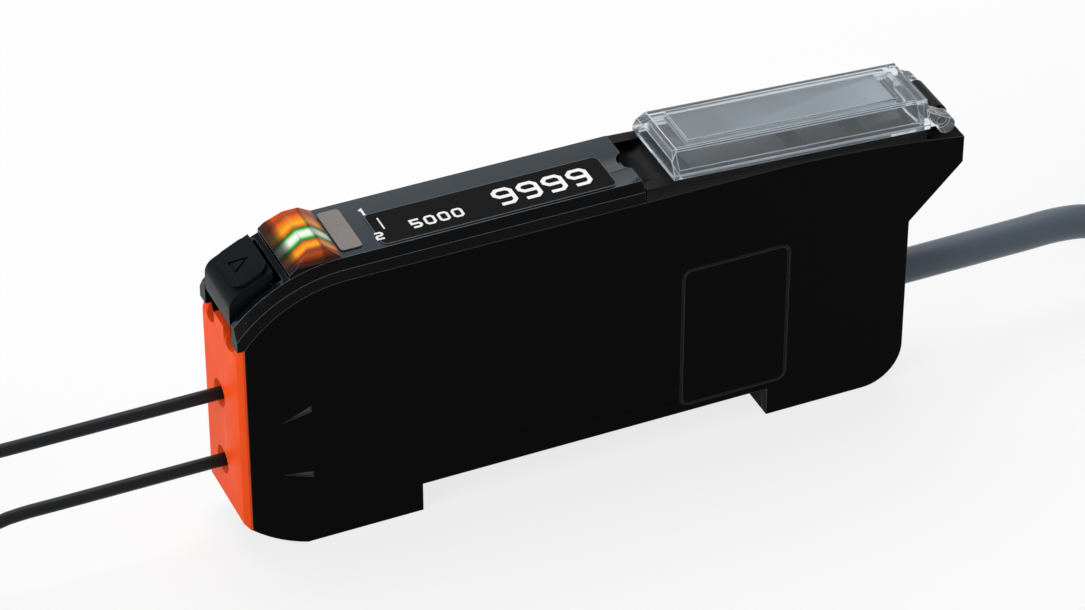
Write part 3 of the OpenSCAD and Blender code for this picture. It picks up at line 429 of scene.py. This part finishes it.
# Lock lever
# A black lever that closes the fibre clamp, with a raised pad and an engraved triangle.
# It is a smooth moulding and turns on two stubs in the arms of the top cover.
LEVER_EDGE = 0.12 * MM
lever_plastic = moulded("lever_plastic", (0.0045, 0.0058, 0.0075), 0.32, relief=0.08, level=0.05)
lever_plastic.node_tree.nodes["Principled BSDF"].inputs["Specular Tint"].default_value = (0.6, 0.85, 1.0, 1)
softened("lock_lever", "lock_lever_body", "lever", LEVER_EDGE, [lever_plastic])

# Smoked top cover
# One clear smoked moulding: two arms beside the lever, the faceted lens and the display window.
# It is glossy and dark from the case beneath, with a painted highlight on its eased edges and painted shade
# on its upright faces and the bar before the lens, and its lens glows from the guides under it.
LENS_X = (-32.2 * MM, -26.7 * MM)
LENS_LOW = 31.2 * MM
LENS_HALF = 3.9 * MM
BAR_HALF = 3.0 * MM
SIDE_SLOPE = 0.3
FRONT_SLOPE = -0.75
COVER_EDGE = 0.12 * MM
smoked = moulded("smoked_cover", (0.004, 0.006, 0.009), 0.10, relief=0.01, level=0.36)
smoked_shader = smoked.node_tree.nodes["Principled BSDF"]
smoked_shader.inputs["Specular Tint"].default_value = (0.5, 0.8, 1.0, 1)
smoked_shader.inputs["Coat Weight"].default_value = 0.1
# Painted shade: the same smoked plastic, darker and less glossy, for the upright faces and the bar before
# the lens.
cover_side_painted_shade = moulded("cover_side_painted_shade", (0.0026, 0.0027, 0.0032), 0.3, relief=0.02, level=0.05)
# Painted highlight: a pale bluish grey for the cover's eased edges.
cover_rim_painted_highlight = moulded("cover_rim_painted_highlight", (0.09, 0.125, 0.16), 0.25, relief=0.01, level=0.4)
lens_lit = moulded("lens_lit", (0.006, 0.005, 0.005), 0.12, relief=0.01, level=0.08)
# Place across the lens and the glow there: an orange band, a green one with a white core, and an orange one
LENS_ACROSS = (
    (0.00, (0.05, 0.008, 0.002)), (0.04, (0.45, 0.060, 0.004)), (0.075, (0.20, 0.030, 0.004)),
    (0.11, (0.85, 0.140, 0.003)), (0.155, (1.00, 0.44, 0.003)), (0.21, (1.00, 0.300, 0.003)),
    (0.255, (0.60, 0.10, 0.003)), (0.28, (0.05, 0.160, 0.010)), (0.31, (0.01, 0.360, 0.030)),
    (0.345, (0.45, 0.80, 0.400)), (0.38, (0.90, 0.980, 0.880)), (0.44, (0.90, 0.980, 0.880)),
    (0.475, (0.45, 0.80, 0.400)), (0.51, (0.01, 0.360, 0.030)), (0.54, (0.05, 0.140, 0.010)),
    (0.57, (0.75, 0.140, 0.003)), (0.64, (1.00, 0.460, 0.003)), (0.71, (0.95, 0.270, 0.003)),
    (0.78, (0.80, 0.140, 0.003)), (0.85, (0.40, 0.050, 0.002)), (1.00, (0.80, 0.090, 0.004)),
)
# Place along the lens and the share of the glow there: dim at its front, full in the middle, half behind
LENS_ALONG = (
    (0.00, 0.02), (0.14, 0.10), (0.20, 0.35), (0.26, 0.95),
    (0.64, 1.00), (0.68, 0.40), (0.85, 0.55), (1.00, 0.35),
)
lens_nodes, lens_links = lens_lit.node_tree.nodes, lens_lit.node_tree.links
lens_place = lens_nodes.new("ShaderNodeSeparateXYZ")
lens_links.new(lens_nodes.new("ShaderNodeTexCoord").outputs["Object"], lens_place.inputs["Vector"])
lens_glow = lens_nodes.new("ShaderNodeMix")
lens_glow.data_type = "RGBA"
lens_glow.blend_type = "MULTIPLY"
lens_glow.inputs[0].default_value = 1.0
for axis, start, end, stops, socket in (
    ("Y", -LENS_HALF, LENS_HALF, LENS_ACROSS, 6),
    ("X", LENS_X[0], LENS_X[1], [(place, (share, share, share)) for place, share in LENS_ALONG], 7),
):
    span = lens_nodes.new("ShaderNodeMapRange")
    span.inputs["From Min"].default_value = start
    span.inputs["From Max"].default_value = end
    lens_links.new(lens_place.outputs[axis], span.inputs["Value"])
    bands = lens_nodes.new("ShaderNodeValToRGB")
    while len(bands.color_ramp.elements) < len(stops):
        bands.color_ramp.elements.new(0.5)
    for stop, (place, tint) in zip(bands.color_ramp.elements, stops):
        stop.position = place
        stop.color = (*tint, 1)
    lens_links.new(span.outputs["Result"], bands.inputs["Fac"])
    lens_links.new(bands.outputs["Color"], lens_glow.inputs[socket])
lens_shader = lens_nodes["Principled BSDF"]
lens_links.new(lens_glow.outputs[2], lens_shader.inputs["Emission Color"])
lens_shader.inputs["Emission Strength"].default_value = 1.0
LENS_FINISH, SHADED_SIDE_FINISH, RIM_HIGHLIGHT_FINISH = 1, 2, 3
cover = softened(
    "top_cover", "top_cover_shell", "amplifier", COVER_EDGE,
    [smoked, lens_lit, cover_side_painted_shade, cover_rim_painted_highlight])
# The eased edges take the painted highlight; upright faces and the bar before the lens take the painted
# shade.
cover.modifiers["eased_edges"].material = RIM_HIGHLIGHT_FINISH
for polygon in cover.data.polygons:
    x, y, z = polygon.center
    upright = abs(polygon.normal.y) > SIDE_SLOPE or polygon.normal.x < FRONT_SLOPE
    front_bar = x < LENS_X[0] and abs(y) < BAR_HALF
    if LENS_X[0] < x < LENS_X[1] and abs(y) < LENS_HALF and z > LENS_LOW:
        polygon.material_index = LENS_FINISH
    elif upright or front_bar:
        polygon.material_index = SHADED_SIDE_FINISH

# Light guides
# Three clear bars under the lens, lit from their lamps: orange, green and orange.
# Each is brightest at its rear, where its lamp stands.


def lit(name, deep, bright, strength, x_from, x_to):
    """Lit clear plastic whose light grows along X from a deep colour to a bright one."""
    material = bpy.data.materials.new(name)
    material.use_nodes = True
    nodes, links = material.node_tree.nodes, material.node_tree.links
    shader = nodes["Principled BSDF"]
    shader.inputs["Base Color"].default_value = (0.02, 0.02, 0.02, 1)
    shader.inputs["Roughness"].default_value = 0.2
    shader.inputs["Specular IOR Level"].default_value = 0.1
    place = nodes.new("ShaderNodeTexCoord")
    split = nodes.new("ShaderNodeSeparateXYZ")
    links.new(place.outputs["Object"], split.inputs["Vector"])
    along = nodes.new("ShaderNodeMapRange")
    along.inputs["From Min"].default_value = x_from
    along.inputs["From Max"].default_value = x_to
    links.new(split.outputs["X"], along.inputs["Value"])
    colour = nodes.new("ShaderNodeMix")
    colour.data_type = "RGBA"
    colour.inputs[6].default_value = (*deep, 1)
    colour.inputs[7].default_value = (*bright, 1)
    links.new(along.outputs["Result"], colour.inputs[0])
    links.new(colour.outputs[2], shader.inputs["Emission Color"])
    shader.inputs["Emission Strength"].default_value = strength
    return material


guide_low, guide_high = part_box("light_guide_centre")
orange = lit("guide_orange", (0.80, 0.13, 0.003), (1.0, 0.46, 0.004), 1.0, guide_low[0], guide_high[0])
green = lit("guide_green", (0.03, 0.45, 0.06), (0.80, 0.95, 0.74), 1.0, guide_low[0], guide_high[0])
for row, finish in (("near", orange), ("centre", green), ("far", orange)):
    paint("light_guide_" + row, finish)

# Legend panel
# A small plate of grey plastic behind the lens, glued on the cover's top.
# It is bare, with round corners and a smooth face.
LEGEND_EDGE = 0.03 * MM
legend_plastic = moulded("legend_plastic", (0.14, 0.122, 0.112), 0.25, relief=0.02)
softened("legend_panel", "legend_plate", "amplifier", LEGEND_EDGE, [legend_plastic])

# Display window
# The black window on the smoked cover with the lit digits of the display, edged by a thin dark blue line: a
# painted highlight on the cover's bevel round it.
# The digits are drawn as strokes of one width with cut corners, and like ones stand in a row.
WINDOW_X = (-22.65 * MM, 1.2 * MM)
WINDOW_Y = (-3.8 * MM, 1.25 * MM)
WINDOW_CORNER = 0.6 * MM
WINDOW_T = 0.05 * MM
DIGIT_T = 0.02 * MM
DIGIT_LIFT = 0.01 * MM
EDGE_W = 0.12 * MM
DASH_X = -21.6 * MM
DASH_Y = (-1.5 * MM, 0.35 * MM)
DASH_W = 0.14 * MM
MITRE_LEAST = 0.3
# The legend panel stands on the same flat of the cover
cover_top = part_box("legend_panel")[0].z


def ribbon(points, width, closed):
    """Faces of a flat stroke of a width along points in a plane, with mitred corners."""
    build = bmesh.new()
    line = [Vector(p) for p in points]
    count = len(line)
    sides = []
    for i, place in enumerate(line):
        before = line[i - 1] if i or closed else None
        after = line[(i + 1) % count] if i < count - 1 or closed else None
        ways = [w.normalized() for w in (
            (place - before) if before is not None else None,
            (after - place) if after is not None else None) if w is not None]
        along = sum(ways, Vector((0, 0))).normalized()
        normal = Vector((-along.y, along.x))
        reach = width / 2 / max(MITRE_LEAST, along.dot(ways[0]))
        sides.append([build.verts.new((*(place + s * reach * normal), 0)) for s in (1, -1)])
    last = count if closed else count - 1
    for i in range(last):
        a, b = sides[i], sides[(i + 1) % count]
        build.faces.new((a[0], a[1], b[1], b[0]))
    return build


def plate_piece(name, build, thickness, place, finish):
    """A thin plate from flat faces, set at a place."""
    raised = bmesh.ops.extrude_face_region(build, geom=list(build.faces))
    tops = [v for v in raised["geom"] if isinstance(v, bmesh.types.BMVert)]
    bmesh.ops.translate(build, verts=tops, vec=(0, 0, thickness))
    bmesh.ops.translate(build, verts=build.verts, vec=place)
    bmesh.ops.recalc_face_normals(build, faces=build.faces)
    mesh = bpy.data.meshes.new(name)
    build.to_mesh(mesh)
    build.free()
    mesh.materials.append(finish)
    piece = bpy.data.objects.new(name, mesh)
    bpy.context.collection.objects.link(piece)
    return piece


def rounded(x, y, r, steps=6):
    """Corner points of a rectangle with round corners."""
    left, right, near, far = x[0] + r, x[1] - r, y[0] + r, y[1] - r
    points = []
    for cx, cy, start in ((right, far, 0), (left, far, 90), (left, near, 180), (right, near, 270)):
        for k in range(steps + 1):
            angle = math.radians(start + 90 * k / steps)
            points.append((cx + r * math.cos(angle), cy + r * math.sin(angle)))
    return points


def in_row(piece, count, step, finish):
    """Copies of a piece in a row, made by a node tree and turned into a plain mesh."""
    tree = bpy.data.node_groups.new(piece.name + "_row", "GeometryNodeTree")
    tree.interface.new_socket("Geometry", in_out="INPUT", socket_type="NodeSocketGeometry")
    number = tree.interface.new_socket("Count", in_out="INPUT", socket_type="NodeSocketInt")
    pitch = tree.interface.new_socket("Step", in_out="INPUT", socket_type="NodeSocketVector")
    tree.interface.new_socket("Geometry", in_out="OUTPUT", socket_type="NodeSocketGeometry")
    given, result = tree.nodes.new("NodeGroupInput"), tree.nodes.new("NodeGroupOutput")
    row = tree.nodes.new("GeometryNodeMeshLine")
    spread = tree.nodes.new("GeometryNodeInstanceOnPoints")
    real = tree.nodes.new("GeometryNodeRealizeInstances")
    dress = tree.nodes.new("GeometryNodeSetMaterial")
    dress.inputs["Material"].default_value = finish
    tree.links.new(given.outputs["Count"], row.inputs["Count"])
    tree.links.new(given.outputs["Step"], row.inputs["Offset"])
    tree.links.new(row.outputs["Mesh"], spread.inputs["Points"])
    tree.links.new(given.outputs["Geometry"], spread.inputs["Instance"])
    tree.links.new(spread.outputs["Instances"], real.inputs["Geometry"])
    tree.links.new(real.outputs["Geometry"], dress.inputs["Geometry"])
    tree.links.new(dress.outputs["Geometry"], result.inputs["Geometry"])
    nodes = piece.modifiers.new("row", "NODES")
    nodes.node_group = tree
    nodes[number.identifier] = count
    nodes[pitch.identifier] = step
    ready = piece.evaluated_get(bpy.context.evaluated_depsgraph_get())
    mesh = bpy.data.meshes.new_from_object(ready)
    piece.modifiers.remove(nodes)
    piece.data = mesh
    return piece


window_black = moulded("window_black", (0.0015, 0.0015, 0.0018), 0.3, level=0.03, relief=0.01)
# Painted highlight of the cover's bevel round the window: a thin dark blue line.
window_rim_highlight = moulded("window_rim_highlight", (0.03, 0.045, 0.06), 0.2, relief=0.02, level=0.3)
digit_white = lit("digit_white", (0.92, 0.93, 0.95), (1.0, 1.0, 1.0), 0.9, *WINDOW_X)
outline = rounded(WINDOW_X, WINDOW_Y, WINDOW_CORNER)
pane = bmesh.new()
pane.faces.new([pane.verts.new((*p, 0)) for p in outline])
on_cover = (0, 0, cover_top)
window = plate_piece("display_window", pane, WINDOW_T, on_cover, window_black)
edge = plate_piece("window_rim_highlight", ribbon(outline, EDGE_W, True), WINDOW_T + DIGIT_T, on_cover, window_rim_highlight)
for piece in (window, edge):
    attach(piece, "amplifier")


def digit_strokes(figure, w, h):
    """Corner points of a figure's stroke in its own box, and whether the stroke closes."""
    cut = 0.22 * w
    strokes = {
        "0": ([(cut, 0), (w - cut, 0), (w, cut), (w, h - cut), (w - cut, h), (cut, h), (0, h - cut),
               (0, cut)], True),
        "1": ([(0.15 * w, h - cut), (0.5 * w, h), (0.5 * w, 0)], False),
        "2": ([(0, h), (w - cut, h), (w, h - cut), (w, h / 2 + cut), (w - cut, h / 2), (cut, h / 2),
               (0, h / 2 - cut), (0, 0), (w, 0)], False),
        "5": ([(w, h), (0, h), (0, h / 2), (w - cut, h / 2), (w, h / 2 - cut), (w, cut), (w - cut, 0),
               (0, 0)], False),
        "9": ([(0.1 * w, 0), (w - cut, 0), (w, cut), (w, h - cut), (w - cut, h), (cut, h), (0, h - cut),
               (0, h / 2 + cut), (cut, h / 2), (w, h / 2)], False),
    }
    return strokes[figure]


# Name, figure, how many, left and lower side, width, height, stroke width and pitch in millimetres
DIGITS = (
    ("large_nines", "9", 4, -10.2, -2.38, 1.72, 2.27, 0.42, 2.55),
    ("small_five", "5", 1, -19.0, -2.45, 0.84, 1.14, 0.25, 1.4),
    ("small_noughts", "0", 3, -17.6, -2.45, 0.84, 1.14, 0.25, 1.4),
    ("upper_row_figure", "1", 1, -22.85, 1.25, 0.75, 1.0, 0.22, 1.0),
    ("lower_row_figure", "2", 1, -22.8, -2.85, 0.68, 0.95, 0.22, 1.0),
)
digit_z = cover_top + WINDOW_T + DIGIT_LIFT
for label, figure, count, x, y, w, h, stroke, pitch in DIGITS:
    points, closed = digit_strokes(figure, w * MM, h * MM)
    strokes = ribbon(points, stroke * MM, closed)
    mark = plate_piece(label, strokes, DIGIT_T, (x * MM, y * MM, digit_z), digit_white)
    mark = in_row(mark, count, (pitch * MM, 0, 0), digit_white)
    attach(mark, "amplifier")
dash_line = ribbon([(0, DASH_Y[0]), (0, DASH_Y[1])], DASH_W, False)
dash = plate_piece("row_dash", dash_line, DIGIT_T, (DASH_X, 0, digit_z), digit_white)
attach(dash, "amplifier")

# Key deck and keys
# The black deck behind the display with its sunk floor, a rocker for setting and two push keys.
# All are mouldings: the rocker tilts on two stubs, and the push keys stand in the deck over their switches.
DECK_EDGE = 0.08 * MM
KEY_EDGE = 0.06 * MM
deck_plastic = moulded("deck_plastic", (0.003, 0.0032, 0.004), 0.34, level=0.07)
key_plastic = moulded("key_plastic", (0.035, 0.036, 0.04), 0.42)
softened("key_deck", "key_deck_frame", "amplifier", DECK_EDGE, [deck_plastic])
for node, body in (("rocker_key", "rocker"), ("menu_key", "menu_button"), ("teach_key", "teach_button")):
    softened(node, node + "_cap", body, KEY_EDGE, [key_plastic])

# Dust cover
# A clear, slightly grey moulding with a raised panel, hinged at the tail on two stubs. Its pale edges are a
# painted highlight.
# A bare grey label of film is stuck under its top.
LID_EDGE = 0.12 * MM
LID_HIGHLIGHT_FINISH = 1
clear = moulded("cover_plastic", (0.80, 0.85, 0.90), 0.08, relief=0.01)
clear_shader = clear.node_tree.nodes["Principled BSDF"]
clear_shader.inputs["Transmission Weight"].default_value = 0.95
clear_shader.inputs["IOR"].default_value = 1.4
# Painted highlight: a pale bluish grey for the lid's eased edges.
lid_rim_highlight = moulded("lid_edge_painted_highlight", (0.52, 0.58, 0.64), 0.2, relief=0.01)
lid_shell = softened("dust_cover", "dust_cover_shell", "lid", LID_EDGE, [clear, lid_rim_highlight])
lid_shell.modifiers["eased_edges"].material = LID_HIGHLIGHT_FINISH
paint("cover_label", moulded("label_film", (0.45, 0.51, 0.55), 0.5))

# Floor and light
# A plain pale floor, a large soft lamp above and behind, another at the fibre end, and a white room.
# The room gives less light from the near side than from the far side, so that the shapes stay clear.
FLOOR_HALF = 3.0
FLOOR_GLOW = 0.78
LIGHT_TARGET = Vector((0, 0, 0.015))
floor_mesh = bpy.data.meshes.new("floor")
floor_mesh.from_pydata(
    [(-FLOOR_HALF, -FLOOR_HALF, 0), (FLOOR_HALF, -FLOOR_HALF, 0), (FLOOR_HALF, FLOOR_HALF, 0),
     (-FLOOR_HALF, FLOOR_HALF, 0)], [], [(0, 1, 2, 3)])
floor = bpy.data.objects.new("floor", floor_mesh)
bpy.context.collection.objects.link(floor)


def seen_directly(nodes, links):
    """One for rays that look at the background itself: from the camera, off gloss or through glass."""
    path = nodes.new("ShaderNodeLightPath")
    total = None
    for ray in ("Is Camera Ray", "Is Glossy Ray", "Is Transmission Ray"):
        if total is None:
            total = path.outputs[ray]
            continue
        both = nodes.new("ShaderNodeMath")
        both.operation = "MAXIMUM"
        links.new(total, both.inputs[0])
        links.new(path.outputs[ray], both.inputs[1])
        total = both.outputs["Value"]
    return total


floor_paper = bpy.data.materials.new("floor_paper")
floor_paper.use_nodes = True
floor_mesh.materials.append(floor_paper)
nodes, links = floor_paper.node_tree.nodes, floor_paper.node_tree.links
nodes["Principled BSDF"].inputs["Base Color"].default_value = (0.88, 0.88, 0.88, 1)
nodes["Principled BSDF"].inputs["Roughness"].default_value = 0.9
glow = nodes.new("ShaderNodeEmission")
share = nodes.new("ShaderNodeMath")
share.operation = "MULTIPLY"
share.inputs[1].default_value = FLOOR_GLOW
links.new(seen_directly(nodes, links), share.inputs[0])
paper = nodes.new("ShaderNodeMixShader")
links.new(share.outputs["Value"], paper.inputs["Fac"])
links.new(nodes["Principled BSDF"].outputs["BSDF"], paper.inputs[1])
links.new(glow.outputs["Emission"], paper.inputs[2])
links.new(paper.outputs["Shader"], nodes["Material Output"].inputs["Surface"])

room = bpy.data.worlds.new("studio_room")
bpy.context.scene.world = room
room.use_nodes = True
nodes, links = room.node_tree.nodes, room.node_tree.links
way = nodes.new("ShaderNodeTexCoord")
split = nodes.new("ShaderNodeSeparateXYZ")
links.new(way.outputs["Generated"], split.inputs["Vector"])
front_to_back = nodes.new("ShaderNodeMapRange")
front_to_back.inputs["From Min"].default_value = -0.5
front_to_back.inputs["From Max"].default_value = 0.4
front_to_back.inputs["To Min"].default_value = 0.14
front_to_back.inputs["To Max"].default_value = 0.95
links.new(split.outputs["Y"], front_to_back.inputs["Value"])
level = nodes.new("ShaderNodeMix")
level.data_type = "FLOAT"
level.inputs[3].default_value = 1.0
links.new(seen_directly(nodes, links), level.inputs[0])
links.new(front_to_back.outputs["Result"], level.inputs[2])
links.new(level.outputs[0], nodes["Background"].inputs["Strength"])
nodes["Background"].inputs["Color"].default_value = (1, 1, 1, 1)

for label, place, power, size in (
    ("key_lamp", (0.05, 0.30, 0.55), 1.6, 0.45), ("front_lamp", (-0.55, -0.20, 0.30), 1.6, 0.35),
):
    light = bpy.data.lights.new(label, "AREA")
    light.energy = power
    light.size = size
    thing = bpy.data.objects.new(label, light)
    thing.location = place
    thing.rotation_euler = (LIGHT_TARGET - Vector(place)).to_track_quat("-Z", "Y").to_euler()
    bpy.context.collection.objects.link(thing)

bpy.context.scene.view_settings.view_transform = "Standard"
